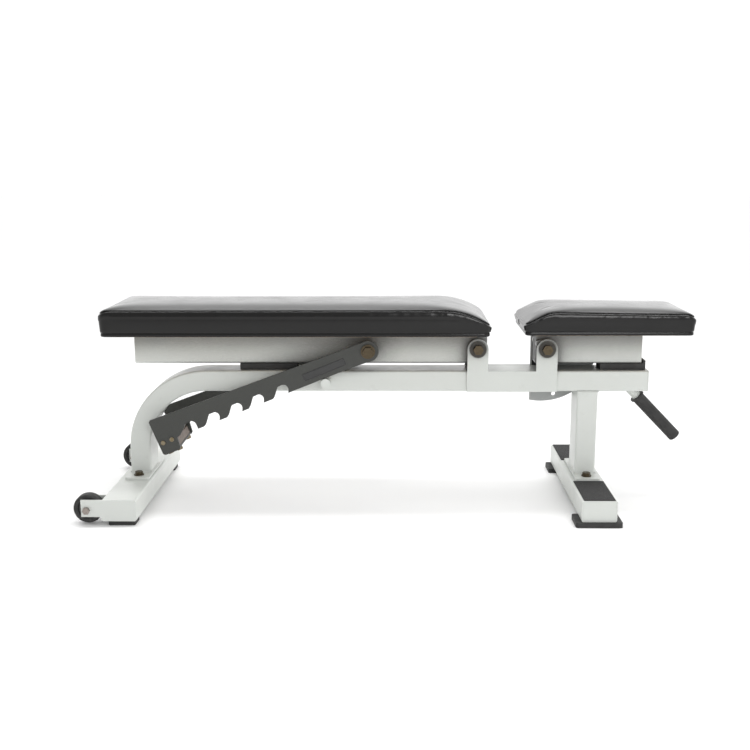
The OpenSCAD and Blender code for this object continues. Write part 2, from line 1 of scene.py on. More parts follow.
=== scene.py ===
"""Looks of the adjustable weight bench: camera, light, finishes, padded covers and fittings.

Everything is in metres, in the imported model's own frame: X along the bench towards the seat end,
Y across it to the far side, Z up, and the floor at Z = 0.
"""

import json
import math

import bpy
import numpy as np
from mathutils import Matrix, Vector, noise
from mathutils.bvhtree import BVHTree


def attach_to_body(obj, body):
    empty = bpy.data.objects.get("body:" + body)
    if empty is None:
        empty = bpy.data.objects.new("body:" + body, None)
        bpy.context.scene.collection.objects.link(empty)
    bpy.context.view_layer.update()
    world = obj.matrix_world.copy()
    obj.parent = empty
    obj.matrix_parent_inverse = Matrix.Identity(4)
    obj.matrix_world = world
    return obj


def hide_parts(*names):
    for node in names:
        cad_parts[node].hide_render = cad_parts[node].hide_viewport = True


MM = 0.001

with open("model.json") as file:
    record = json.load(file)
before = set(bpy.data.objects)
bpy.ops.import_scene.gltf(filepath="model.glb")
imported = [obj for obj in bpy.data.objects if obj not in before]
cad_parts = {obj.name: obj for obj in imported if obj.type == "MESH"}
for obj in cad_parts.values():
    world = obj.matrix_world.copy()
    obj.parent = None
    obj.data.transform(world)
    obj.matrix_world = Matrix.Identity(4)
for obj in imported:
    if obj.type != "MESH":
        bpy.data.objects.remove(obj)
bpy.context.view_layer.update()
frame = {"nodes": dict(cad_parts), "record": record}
nodes = frame["nodes"]
scene = bpy.context.scene


# ---------- camera, floor and light ----------

# the camera's lens and sensor in mm, its place, and its turn in degrees
LENS, SENSOR = 48.44, 36.0
CAMERA_PLACE = (0.020, -2.4083, 0.80135)
PITCH, YAW, ROLL = 11.69, -1.17, -0.21

# the floor is a flat disc; the studio round it is brighter behind the bench and at its seat end
FLOOR_RADIUS, FLOOR_SIDES = 30, 64
BRIGHT_SIDE = (0.50, 0.87, 0.0)
DIMMEST, BRIGHTEST = 0.55, 1.55


def make_camera():
    data = bpy.data.cameras.new("camera")
    data.lens = LENS
    data.sensor_width = SENSOR
    data.clip_start, data.clip_end = 0.05, 200.0
    pitch, yaw, roll = (math.radians(angle) for angle in (PITCH, YAW, ROLL))
    level = math.cos(pitch)
    forward = Vector((math.sin(yaw) * level, math.cos(yaw) * level, -math.sin(pitch)))
    right = Vector((math.cos(yaw), -math.sin(yaw), 0.0))
    up = right.cross(forward)
    side = right * math.cos(roll) + up * math.sin(roll)
    top = up * math.cos(roll) - right * math.sin(roll)
    camera = bpy.data.objects.new("camera", data)
    scene.collection.objects.link(camera)
    turn = Matrix((side, top, -forward)).transposed().to_4x4()
    camera.matrix_world = Matrix.Translation(CAMERA_PLACE) @ turn
    scene.camera = camera


def make_area(name, place, aim, size, power):
    data = bpy.data.lights.new(name, "AREA")
    data.shape = "RECTANGLE"
    data.size, data.size_y = size
    data.energy = power
    light = bpy.data.objects.new(name, data)
    scene.collection.objects.link(light)
    light.location = place
    light.rotation_euler = (Vector(aim) - Vector(place)).to_track_quat("-Z", "Y").to_euler()


def make_floor():
    mesh = bpy.data.meshes.new("floor")
    angles = np.linspace(0, 2 * math.pi, FLOOR_SIDES, endpoint=False)
    rim = [(math.cos(a) * FLOOR_RADIUS, math.sin(a) * FLOOR_RADIUS, 0.0) for a in angles]
    mesh.from_pydata(rim, [], [list(range(FLOOR_SIDES))])
    floor = bpy.data.objects.new("floor", mesh)
    scene.collection.objects.link(floor)
    paper = Finish("floor_paper", Roughness=0.85)
    paper.mix_colour((0.93, 0.93, 0.93), (0.955, 0.955, 0.955), paper.noise(1.4, 3.0))
    mesh.materials.append(paper.material)


def make_studio():
    world = bpy.data.worlds.new("studio")
    world.use_nodes = True
    tree = world.node_tree
    facing = tree.nodes.new("ShaderNodeVectorMath")
    facing.operation = "DOT_PRODUCT"
    facing.inputs[1].default_value = BRIGHT_SIDE
    strength = tree.nodes.new("ShaderNodeMapRange")
    direction = tree.nodes.new("ShaderNodeTexCoord").outputs["Generated"]
    tree.links.new(direction, facing.inputs[0])
    tree.links.new(facing.outputs["Value"], strength.inputs["Value"])
    strength.inputs["From Min"].default_value = -1.0
    strength.inputs["From Max"].default_value = 1.0
    strength.inputs["To Min"].default_value = DIMMEST
    strength.inputs["To Max"].default_value = BRIGHTEST
    backdrop = tree.nodes["Background"]
    backdrop.inputs["Color"].default_value = (1.0, 1.0, 1.0, 1.0)
    tree.links.new(strength.outputs["Result"], backdrop.inputs["Strength"])
    scene.world = world
    scene.view_settings.view_transform = "Standard"

    make_area("top_box", (0.0, 0.05, 2.5), (0.0, 0.0, 0.3), (3.6, 0.30), 30.0)
    make_area("front_box", (0.9, -2.8, 1.1), (0.0, 0.0, 0.25), (1.0, 0.8), 20.0)


# ---------- finishes ----------


class Finish:
    """A material with a Principled shader and a few procedural helpers.

    Noise scales are in cycles per metre, and reaches, radii and depths are in metres.
    """

    noise_low, noise_high = 0.3, 0.7  # the part of 0 to 1 that most of a noise's values fill

    def __init__(self, name, **sockets):
        self.material = bpy.data.materials.new(name)
        self.material.use_nodes = True
        self.tree = self.material.node_tree
        self.shader = self.tree.nodes["Principled BSDF"]
        self.place = self.tree.nodes.new("ShaderNodeTexCoord").outputs["Object"]
        self.bumped = None
        for socket, value in sockets.items():
            self.shader.inputs[socket.replace("_", " ")].default_value = value

    def node(self, kind, inputs=(), **settings):
        made = self.tree.nodes.new(kind)
        for key, value in settings.items():
            setattr(made, key, value)
        for socket, value in dict(inputs).items():
            if isinstance(value, bpy.types.NodeSocket):
                self.tree.links.new(value, made.inputs[socket])
            else:
                made.inputs[socket].default_value = value
        return made

    def noise(self, scale, detail=4.0, rough=0.5, stretch=None):
        place = self.place
        if stretch:
            stretched = self.node("ShaderNodeMapping", {"Vector": place, "Scale": stretch})
            place = stretched.outputs["Vector"]
        inputs = {"Vector": place, "Scale": scale, "Detail": detail, "Roughness": rough}
        return self.node("ShaderNodeTexNoise", inputs).outputs["Fac"]

    def cells(self, scale):
        inputs = {"Vector": self.place, "Scale": scale}
        return self.node("ShaderNodeTexVoronoi", inputs).outputs["Distance"]

    def ramp(self, value, low, high, to_low=0.0, to_high=1.0):
        """The value with low and high moved to to_low and to_high, and held between them."""
        inputs = {
            "Value": value, "From Min": low, "From Max": high, "To Min": to_low, "To Max": to_high,
        }
        return self.node("ShaderNodeMapRange", inputs).outputs["Result"]

    def mix(self, share, a, b):
        """Colour a where share is 0 and colour b where it is 1."""
        factor, first, second, result = 0, 6, 7, 2  # the Mix node's sockets for colours
        made = self.node("ShaderNodeMix", {factor: share}, data_type="RGBA")
        for key, value in ((first, a), (second, b)):
            if isinstance(value, bpy.types.NodeSocket):
                self.tree.links.new(value, made.inputs[key])
            else:
                made.inputs[key].default_value = (*value, 1.0)
        return made.outputs[result]

    def product(self, a, b):
        return self.node("ShaderNodeMath", {0: a, 1: b}, operation="MULTIPLY").outputs[0]

    def mix_colour(self, a, b, share):
        self.colour(self.mix(share, a, b))

    def colour(self, value):
        self.tree.links.new(value, self.shader.inputs["Base Color"])

    def roughness(self, low, high, share):
        spread = self.ramp(share, self.noise_low, self.noise_high, low, high)
        self.tree.links.new(spread, self.shader.inputs["Roughness"])

    def bump(self, height, depth):
        """Adds a relief of that depth in metres on top of what is there."""
        inputs = {"Height": height, "Distance": depth, "Strength": 1.0}
        if self.bumped:
            inputs["Normal"] = self.bumped
        self.bumped = self.node("ShaderNodeBump", inputs).outputs["Normal"]
        self.tree.links.new(self.bumped, self.shader.inputs["Normal"])

    def occluded_share(self, reach, clear, closed):
        """0 where the share of open space within reach is clear, and 1 where it is closed."""
        made = self.node("ShaderNodeAmbientOcclusion", {"Distance": reach}, samples=4)
        return self.ramp(made.outputs["AO"], clear, closed)

    def edges(self, radius):
        """1 along sharp edges and 0 on open faces, from how far a rounded normal leans away."""
        upright, leaning = 0.999, 0.90
        soft = self.node("ShaderNodeBevel", {"Radius": radius}, samples=4).outputs["Normal"]
        true = self.node("ShaderNodeNewGeometry").outputs["True Normal"]
        dot = self.node("ShaderNodeVectorMath", {0: soft, 1: true}, operation="DOT_PRODUCT")
        return self.ramp(dot.outputs["Value"], upright, leaning)


def worn(finish, clean, bare, radius, scale, amount):
    """Mixes a bare colour in along the edges, broken up by noise of that scale."""
    intact, rubbed_off = 0.50, 0.62
    patchy = finish.ramp(finish.noise(scale, 6.0, 0.65), intact, rubbed_off)
    rubbed = finish.product(finish.edges(radius), patchy)
    share = finish.ramp(rubbed, 0.0, 1.0, 0.0, amount)
    finish.colour(finish.mix(share, clean, bare))


def add_paint(made):
    paint = Finish("frame_paint", Coat_Weight=0.15, Coat_Roughness=0.2)
    cloudy = paint.mix(paint.noise(7.0, 3.0), (0.535, 0.555, 0.527), (0.600, 0.620, 0.592))
    flecks = paint.ramp(paint.noise(900.0, 2.0), 0.60, 0.78, 0.0, 0.30)
    flecked = paint.mix(flecks, cloudy, (0.43, 0.45, 0.42))
    scuffs = paint.ramp(paint.noise(34.0, 7.0, 0.7), 0.60, 0.72, 0.0, 0.35)
    marked = paint.mix(scuffs, flecked, (0.47, 0.47, 0.45))
    # painted shade: near-black is mixed into the paint where ambient occlusion within 75 mm is
    # high, only above 305 to 335 mm, so the tubes and brackets under the pads darken towards the
    # pad's underside in place of the shade the pads cast
    height = paint.node("ShaderNodeSeparateXYZ", {0: paint.place}).outputs["Z"]
    under_pads = paint.ramp(height, 305 * MM, 335 * MM)
    painted_shade = paint.product(paint.occluded_share(75 * MM, 0.97, 0.62), under_pads)
    paint.colour(paint.mix(painted_shade, marked, (0.085, 0.085, 0.080)))
    paint.roughness(0.30, 0.44, paint.noise(25.0, 4.0))
    paint.bump(paint.noise(420.0, 3.0), 0.05 * MM)
    made["frame_paint"] = paint


def add_polymers(made):
    plastic = Finish("plastic")
    plastic.mix_colour((0.022, 0.022, 0.022), (0.040, 0.040, 0.040), plastic.noise(40.0))
    plastic.roughness(0.42, 0.58, plastic.noise(90.0))
    plastic.bump(plastic.noise(1500.0, 2.0), 0.05 * MM)
    made["plastic"] = plastic

    tyre = Finish("tyre")
    dusty = tyre.ramp(tyre.noise(70.0, 6.0, 0.7), 0.48, 0.70, 0.0, 0.55)
    tyre.mix_colour((0.018, 0.018, 0.018), (0.085, 0.082, 0.078), dusty)
    tyre.roughness(0.55, 0.8, tyre.noise(120.0))
    tyre.bump(tyre.noise(700.0, 4.0), 0.12 * MM)
    made["tyre"] = tyre

    rubber = Finish("rubber")
    rubber.mix_colour((0.012, 0.012, 0.012), (0.029, 0.028, 0.027), rubber.noise(50.0, 5.0, 0.6))
    rubber.roughness(0.55, 0.75, rubber.noise(60.0))
    rubber.bump(rubber.noise(900.0, 3.0), 0.10 * MM)
    made["rubber"] = rubber

    grit = Finish("grip_tape")
    grain = grit.noise(1300.0, 2.0, 0.7)
    grit.mix_colour((0.012, 0.012, 0.012), (0.13, 0.13, 0.13), grit.ramp(grain, 0.52, 0.75))
    grit.roughness(0.75, 0.95, grain)
    grit.bump(grain, 0.5 * MM)
    made["grip_tape"] = grit


def add_fastener_metals(made):
    bronze = Finish("bronze_bolt", Metallic=1.0)
    patina = bronze.mix(bronze.noise(160.0, 5.0, 0.7), (0.038, 0.030, 0.021), (0.130, 0.103, 0.067))
    worn(bronze, patina, (0.46, 0.39, 0.28), 0.5 * MM, 500.0, 0.8)
    bronze.roughness(0.28, 0.48, bronze.noise(220.0))
    bronze.bump(bronze.noise(1300.0, 3.0), 0.05 * MM)
    made["bronze_bolt"] = bronze

    oxide = Finish("black_steel", Metallic=0.6)
    patches = oxide.mix(oxide.noise(130.0, 4.0), (0.030, 0.028, 0.025), (0.065, 0.060, 0.052))
    worn(oxide, patches, (0.30, 0.28, 0.25), 0.4 * MM, 300.0, 0.5)
    oxide.roughness(0.36, 0.55, oxide.noise(200.0))
    oxide.bump(oxide.noise(1600.0, 2.0), 0.04 * MM)
    made["black_steel"] = oxide

    zinc = Finish("zinc", Metallic=1.0)
    zinc.mix_colour((0.20, 0.175, 0.16), (0.36, 0.32, 0.29), zinc.noise(180.0, 5.0, 0.6))
    zinc.roughness(0.24, 0.42, zinc.noise(260.0))
    zinc.bump(zinc.noise(900.0, 3.0), 0.03 * MM)
    made["zinc"] = zinc

    bush = Finish("bush_bronze", Metallic=1.0)
    bush.mix_colour((0.42, 0.29, 0.13), (0.62, 0.46, 0.24), bush.noise(220.0, 5.0, 0.6))
    bush.roughness(0.35, 0.5, bush.noise(300.0))
    bush.bump(bush.noise(1500.0, 2.0), 0.05 * MM)
    made["bush_bronze"] = bush


def add_ladder_finishes(made):
    coat = Finish("ladder_coat")
    pebbles = coat.noise(620.0, 3.0, 0.6)
    mottled = coat.mix(pebbles, (0.020, 0.021, 0.0185), (0.052, 0.054, 0.048))
    worn(coat, mottled, (0.24, 0.24, 0.22), 0.9 * MM, 140.0, 0.55)
    coat.roughness(0.38, 0.58, coat.noise(330.0))
    coat.bump(pebbles, 0.28 * MM)
    made["ladder_coat"] = coat

    block = Finish("block", Metallic=0.25)
    block.mix_colour((0.11, 0.085, 0.070), (0.24, 0.195, 0.165), block.noise(90.0, 5.0, 0.65))
    block.roughness(0.5, 0.7, block.noise(140.0))
    block.bump(block.noise(500.0, 4.0), 0.15 * MM)
    made["block"] = block

    yellow = Finish("yellow_zinc", Metallic=1.0)
    hue = yellow.noise(150.0, 3.0)
    warm = yellow.mix(yellow.ramp(hue, 0.35, 0.65), (0.19, 0.150, 0.085), (0.21, 0.185, 0.14))
    yellow.colour(yellow.mix(yellow.ramp(hue, 0.60, 0.80, 0.0, 0.5), warm, (0.17, 0.13, 0.13)))
    yellow.roughness(0.25, 0.42, yellow.noise(260.0))
    yellow.bump(yellow.noise(1100.0, 2.0), 0.03 * MM)
    made["yellow_zinc"] = yellow


def add_pad_finishes(made):
    vinyl = Finish("vinyl", Specular_IOR_Level=0.31)
    cloudy = vinyl.noise(24.0, 4.0, 0.6)
    vinyl.mix_colour((0.0035, 0.0034, 0.0032), (0.0075, 0.0072, 0.0069), cloudy)
    vinyl.roughness(0.14, 0.23, vinyl.noise(14.0, 4.0, 0.6))
    vinyl.bump(vinyl.noise(60.0, 3.0), 0.06 * MM)
    vinyl.bump(vinyl.cells(560.0), 0.018 * MM)
    vinyl.bump(vinyl.noise(1500.0, 2.0), 0.008 * MM)
    made["vinyl"] = vinyl

    ply = Finish("plywood")
    grain = ply.noise(18.0, 8.0, 0.65, stretch=(0.35, 7.0, 18.0))
    ply.mix_colour((0.42, 0.28, 0.16), (0.66, 0.49, 0.31), ply.ramp(grain, 0.35, 0.65))
    ply.roughness(0.6, 0.8, grain)
    ply.bump(grain, 0.12 * MM)
    made["plywood"] = ply


def add_sector_grey(made):
    grey = Finish("sector_grey")
    pebbles = grey.noise(800.0, 3.0)
    mottled = grey.mix(grey.noise(20.0, 4.0), (0.27, 0.28, 0.275), (0.36, 0.37, 0.365))
    worn(grey, mottled, (0.12, 0.12, 0.12), 0.7 * MM, 110.0, 0.6)
    grey.roughness(0.40, 0.55, grey.noise(50.0))
    grey.bump(pebbles, 0.08 * MM)
    made["sector_grey"] = grey


def make_finishes():
    made = {}
    for add in (
        add_paint, add_polymers, add_fastener_metals, add_ladder_finishes, add_pad_finishes,
        add_sector_grey,
    ):
        add(made)
    return {name: finish.material for name, finish in made.items()}


# nodes that keep their exact faces, because a rounded edge would not show or would close a hole
KEEP_SHARP = {
    "ladder_fasteners", "wheel_tyre_near", "wheel_tyre_far", "catch_pin", "back_sleeve",
    "ladder_sleeve", "back_bushes", "ladder_bushes", "seat_sleeve", "base_nuts", "pivot_washers",
    "handle_rod", "handle_grip",
}
EDGE_WIDTH = 0.7 * MM
MERGE_GAP = 0.00002
FLAT_ANGLE, EDGE_ANGLE = math.radians(0.4), math.radians(38)


def soften(node):
    """Rounds a CAD node's sharp edges with modifiers, which leave its own mesh alone."""
    weld = node.modifiers.new("weld", "WELD")
    weld.merge_threshold = MERGE_GAP
    flat = node.modifiers.new("flat", "DECIMATE")
    flat.decimate_type = "DISSOLVE"
    flat.angle_limit = FLAT_ANGLE
    bevel = node.modifiers.new("bevel", "BEVEL")
    bevel.limit_method = "ANGLE"
    bevel.angle_limit = EDGE_ANGLE
    bevel.width = EDGE_WIDTH
    bevel.segments = 2
    node.modifiers.new("normals", "WEIGHTED_NORMAL").keep_sharp = True


def dress_nodes(finishes):
    for part in frame["record"]["subparts"]:
        name, slot = part["node"], part["material_slot"]
        materials = nodes[name].data.materials
        materials.clear()
        materials.append(finishes[slot])
        if name not in KEEP_SHARP and slot not in ("vinyl", "plywood"):
            soften(nodes[name])


# ---------- mesh helpers ----------


def make_object(name, points, faces, material, smooth=True):
    mesh = bpy.data.meshes.new(name)
    mesh.from_pydata([tuple(map(float, p)) for p in points], [], faces)
    mesh.materials.append(material)
    mesh.update()
    if smooth:
        mesh.shade_smooth()
    made = bpy.data.objects.new(name, mesh)
    scene.collection.objects.link(made)
    return made


def tube_faces(rings, count, closed=False):
    """Quads between rings of count points each, and back to the first ring if closed."""
    faces = []
    for k in range(rings if closed else rings - 1):
        m = (k + 1) % rings
        for i in range(count):
            j = (i + 1) % count
            faces.append((k * count + i, k * count + j, m * count + j, m * count + i))
    return faces


def read_vertices(mesh, key):
    """One row of three numbers for each vertex: its place, as "co", or its "normal"."""
    values = np.empty(len(mesh.vertices) * 3)
    mesh.vertices.foreach_get(key, values)
    return values.reshape(-1, 3)


def write_places(mesh, points):
    mesh.vertices.foreach_set("co", points.ravel())
    mesh.update()


def smoothstep(value, start, end):
    """0 at the start and 1 at the end, with a smooth passage between them."""
    x = np.clip((value - start) / (end - start), 0.0, 1.0)
    return x * x * (3 - 2 * x)


# ---------- pads ----------


class Pad:
    """A boxed cushion: a top panel, a side band sewn to it all round, and a lip over its board.

    x0, x1 and half are the ends and the half width, corner is the plan's corner radius, and pitch
    is the length of a mesh face, all in metres; top gives the height of the top panel's face along
    X. Rings of equal count run round the plan outline, each with its own inset and height, and a
    grid of quads closes the top and the underside.
    """

    base = 0.417  # height of the underside
    lip = 0.0085  # height of the fold over the board's edge
    seam_drop = 8.0 * MM  # how far the seam is below the face
    turn = 8  # mesh faces round each corner
    least_radius = 3 * MM

    # each ring's inset and its rise above the base, above the lip and above the seam, in mm
    underside = ((34, 2), (33, -0.3), (20, -0.7), (9, -0.6), (5.8, 0.4), (5.4, 2))
    fold = ((5.4, -2.5), (5.9, -1.2), (6.3, -0.3), (6.3, 0.3), (5.2, 0.9), (4.2, 2.2))
    seam_fold = ((6.6, 0.3), (6.7, 1.0), (5.0, 1.9))

    # the free side band: each ring's inset in mm and its share of the way up from the fold
    band = [(4.2 - 2.6 * share, share) for share in (0.14, 0.28, 0.42, 0.56, 0.68, 0.78)]
    band += [(2.3, 0.86), (3.0, 0.93)]
    band_end = (4.6, 0.99)
    panel_insets = (6.4, 8.6, 11.6)

    def __init__(self, name, x0, x1, half, corner, top, pitch):
        self.name, self.x0, self.x1, self.half = name, x0, x1, half
        self.corner, self.top = corner, top
        self.long = round((x1 - x0 - 2 * corner) / pitch)
        self.short = round((2 * half - 2 * corner) / pitch)

    def plan(self, inset):
        """Points round the outline at that inset, anticlockwise from the near left corner."""
        r = max(self.corner - inset, self.least_radius)
        x0, x1, y = self.x0 + inset + r, self.x1 - inset - r, self.half - inset - r
        corners = [((x0, -y), 225), ((x1, -y), 315), ((x1, y), 45), ((x0, y), 135)]
        counts = [self.long, self.short, self.long, self.short]
        points = []

        def arc_point(centre, degrees):
            a = math.radians(degrees)
            return (centre[0] + r * math.cos(a), centre[1] + r * math.sin(a))

        for k, (centre, start) in enumerate(corners):
            for i in range(self.turn // 2):
                points.append(arc_point(centre, start + 90 * i / self.turn))
            next_centre, next_start = corners[(k + 1) % 4]
            push = np.array(arc_point((0.0, 0.0), start + 45))
            first, last = np.array(centre) + push, np.array(next_centre) + push
            for i in range(counts[k] + 1):
                points.append(tuple(first + (last - first) * i / counts[k]))
            for i in range(1, self.turn // 2):
                points.append(arc_point(next_centre, next_start - 45 + 90 * i / self.turn))
        return np.array(points)

    def seam_height(self, x):
        return self.top(x) - self.seam_drop

    def level_ring(self, inset, height):
        flat = self.plan(inset)
        return np.column_stack([flat, np.full(len(flat), height)])

    def shaped_ring(self, inset, height):
        """A ring whose height is a function of X."""
        flat = self.plan(inset)
        return np.column_stack([flat, height(flat[:, 0])])

    def crown(self, points):
        """Height of the unswollen top panel, which falls towards its edge."""
        drop, edge_drop, run = 1.2 * MM, 5.4 * MM, 13 * MM
        inside = self.edge_distance(points)
        return self.top(points[:, 0]) - drop - edge_drop * np.exp(-inside / run)

    def edge_distance(self, points):
        """How far each point is inside the plan outline, along X or Y."""
        across = self.half - np.abs(points[:, 1])
        along = np.minimum(points[:, 0] - self.x0, self.x1 - points[:, 0])
        return np.minimum(across, along)

    def rings(self):
        """Rings from the underside up the side and in over the top, each with 1 if it is held."""
        lip_top = self.base + self.lip
        foot = lip_top + self.fold[-1][1] * MM
        made = []
        for start, steps in ((self.base, self.underside), (lip_top, self.fold)):
            made += [(self.level_ring(inset * MM, start + rise * MM), 1) for inset, rise in steps]

        def up_band(inset, share):
            def height(x):
                return foot + (self.seam_height(x) - foot) * share

            return self.shaped_ring(inset * MM, height)

        def past_seam(inset, rise):
            return self.shaped_ring(inset * MM, lambda x: self.seam_height(x) + rise * MM)

        made += [(up_band(inset, share), 0) for inset, share in self.band]
        made.append((up_band(*self.band_end), 1))
        made += [(past_seam(inset, rise), 1) for inset, rise in self.seam_fold]
        for inset in self.panel_insets:
            flat = self.plan(inset * MM)
            made.append((np.column_stack([flat, self.crown(flat)]), 0))
        return made

    def fill(self, ring, height):
        """Inner points of a grid that spans a ring, and how many faces it has along and across."""
        across, along = self.short + self.turn, self.long + self.turn
        near, right = ring[: along + 1], ring[along : along + across + 1]
        far = ring[along + across : 2 * along + across + 1][::-1]
        left = np.vstack([ring[2 * along + across :], ring[:1]])[::-1]
        inner = []
        for j in range(1, across):
            v = j / across
            for i in range(1, along):
                u = i / along
                point = (1 - v) * near[i] + v * far[i] + (1 - u) * left[j] + u * right[j]
                point = point - (1 - u) * (1 - v) * near[0] - u * (1 - v) * near[-1]
                inner.append(point - (1 - u) * v * far[0] - u * v * far[-1])
        inner = np.array(inner)
        inner[:, 2] = height(inner)
        return inner, along, across

    def grid_faces(self, ring_start, inner_start, count, along, across, flip):
        """Faces of that grid, from the numbers of its ring's and its inner points' first points."""

        def number(i, j):
            if j == 0:
                return ring_start + i
            if i == along:
                return ring_start + along + j
            if j == across:
                return ring_start + (2 * along + across - i) % count
            if i == 0:
                return ring_start + (2 * along + 2 * across - j) % count
            return inner_start + (j - 1) * (along - 1) + i - 1

        faces = []
        for j in range(across):
            for i in range(along):
                face = (number(i, j), number(i + 1, j), number(i + 1, j + 1), number(i, j + 1))
                faces.append(face[::-1] if flip else face)
        return faces

    def mesh(self, material):
        rings = self.rings()
        count = len(rings[0][0])
        points = [r for r, _ in rings]
        held = [np.full(count, h) for _, h in rings]
        faces = tube_faces(len(rings), count)
        recess = self.base + self.underside[0][1] * MM
        under, along, across = self.fill(rings[0][0], lambda p: np.full(len(p), recess))
        under_start = count * len(rings)
        faces += self.grid_faces(0, under_start, count, along, across, True)
        over, along, across = self.fill(rings[-1][0], self.crown)
        last_ring, over_start = count * (len(rings) - 1), under_start + len(under)
        faces += self.grid_faces(last_ring, over_start, count, along, across, False)
        held += [np.ones(len(under)), np.zeros(len(over))]
        made = make_object(self.name, np.concatenate(points + [under, over]), faces, material)
        return made, np.concatenate(held)


SWELL_LIMIT = 4.5 * MM
SWELL_PRESSURE = 4.0
SWELL_FRAMES = 20


def swell(pad, held):
    """Blows the free cloth of a pad up between its held seams, by no more than the limit."""
    rest = read_vertices(pad.data, "co")
    group = pad.vertex_groups.new(name="held")
    for value in (0.0, 1.0):
        group.add([int(i) for i in np.nonzero(held == value)[0]], value, "REPLACE")
    cloth = pad.modifiers.new("cloth", "CLOTH")
    settings = cloth.settings
    settings.quality = 4
    settings.mass = 0.35
    settings.tension_stiffness = 30
    settings.compression_stiffness = 30
    settings.bending_stiffness = 6
    settings.use_pressure = True
    settings.uniform_pressure_force = SWELL_PRESSURE
    settings.vertex_group_mass = "held"
    settings.effector_weights.gravity = 0
    cloth.point_cache.frame_start, cloth.point_cache.frame_end = 1, SWELL_FRAMES
    for number in range(1, SWELL_FRAMES + 1):
        scene.frame_set(number)
    shown = pad.evaluated_get(bpy.context.evaluated_depsgraph_get())
    move = read_vertices(shown.data, "co") - rest
    pad.modifiers.remove(cloth)
    scene.frame_set(1)
    still = 1e-9
    distance = np.linalg.norm(move, axis=1, keepdims=True)
    kept = SWELL_LIMIT * np.tanh(distance / SWELL_LIMIT)
    move = np.where(distance > still, move * kept / np.maximum(distance, still), 0.0)
    write_places(pad.data, rest + move)
    print(f"{pad.name} moved {distance.max() / MM:.1f} mm, kept to {kept.max() / MM:.1f} mm")


def subdivide(pad):
    level = pad.modifiers.new("subdivision", "SUBSURF")
    level.levels = level.render_levels = 1
    shown = pad.evaluated_get(bpy.context.evaluated_depsgraph_get())
    mesh = bpy.data.meshes.new_from_object(shown)
    pad.modifiers.remove(level)
    pad.data = mesh
    mesh.shade_smooth()


def pucker(pad, shape):
    """Gathers the vinyl along the seam, and shows the seam allowance as a low step under it."""
    step_height, side_gather, top_gather = 0.9 * MM, 0.55 * MM, 0.30 * MM
    points, normals = read_vertices(pad.data, "co"), read_vertices(pad.data, "normal")
    below = shape.seam_height(points[:, 0]) - points[:, 2]
    inside = shape.edge_distance(points)
    on_side = smoothstep(np.abs(normals[:, 2]), 0.75, 0.45)
    on_top = smoothstep(normals[:, 2], 0.75, 0.95)
    step_start = smoothstep(below, 0.5 * MM, 3 * MM)
    step_end = smoothstep(below, 15 * MM, 13.4 * MM)
    side_start = smoothstep(below, -1 * MM, 2 * MM)
    side_fade = smoothstep(below, 28 * MM, 4 * MM)
    top_fade = smoothstep(inside, 26 * MM, 4 * MM)
    wave = np.array([
        noise.noise(Vector((x * 62, y * 62, z * 24)))
        + 0.55 * noise.noise(Vector((x * 140 + 7, y * 140, z * 30)))
        for x, y, z in points
    ])
    allowance = step_height * (step_start * step_end)
    lift = on_side * (allowance + side_gather * (side_fade * side_start) * wave)
    lift += (on_top * top_fade) * top_gather * wave
    write_places(pad.data, points + normals * lift[:, None])


BACK_ENDS, SEAT_ENDS = (-0.669, 0.2435), (0.3155, 0.714)
END_DROP = 9 * MM


def end_fall(inside, run):
    """How far a pad's face falls towards its free end, that far inside it."""
    return END_DROP * (1 - smoothstep(inside, 0, run)) ** 2


def back_top(x):
    """Height of the back pad's face: flat, and rolled down over the hinge end."""
    x = np.asarray(x, float)
    face, roll_start, radius = 0.485, 0.130, 0.182
    past = np.maximum(x - roll_start, 0)
    rolled = face - radius + np.sqrt(np.maximum(radius**2 - past**2, 0))
    return rolled - end_fall(x - BACK_ENDS[0], 0.034)


def seat_top(x):
    """Height of the seat pad's face: bevelled down at the front, and falling gently to the back."""
    x = np.asarray(x, float)
    front, front_height, front_slope = 0.3165, 0.4475, 0.53
    crest, crest_height, back_slope = 0.384, 0.4780, -0.0165
    blend = 0.0035
    bevel = front_height + (x - front) * front_slope
    flat = crest_height + (x - crest) * back_slope
    joined = -blend * np.log(np.exp(-bevel / blend) + np.exp(-flat / blend))
    return joined - end_fall(SEAT_ENDS[1] - x, 0.030)


def make_pad(shape, node, body, finishes):
    """The cover that stands for a CAD pad, swollen by cloth simulation and then gathered."""
    pad, held = shape.mesh(finishes["vinyl"])
    swell(pad, held)
    subdivide(pad)
    pucker(pad, shape)
    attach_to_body(pad, body)
    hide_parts(node)
    return pad


def make_back_pad(finishes):
    shape = Pad(
        "back_pad_cover", *BACK_ENDS, half=0.130, corner=0.022, top=back_top, pitch=6 * MM
    )
    return make_pad(shape, "back_pad", "back_rest", finishes)


def make_seat_pad(finishes):
    shape = Pad(
        "seat_pad_cover", *SEAT_ENDS, half=0.111, corner=0.018, top=seat_top, pitch=5 * MM
    )
    return make_pad(shape, "seat_pad", "seat", finishes)


# ---------- fittings ----------


def attach(piece, body):
    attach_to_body(piece, body)


def resample(corners, step, closed):
    """Points at even steps along a broken line."""
    line = [Vector(c) for c in corners] + ([Vector(corners[0])] if closed else [])
    points = []
    for a, b in zip(line, line[1:]):
        count = max(1, round((b - a).length / step))
        points += [a.lerp(b, i / count) for i in range(count)]
    return points if closed else points + [line[-1]]


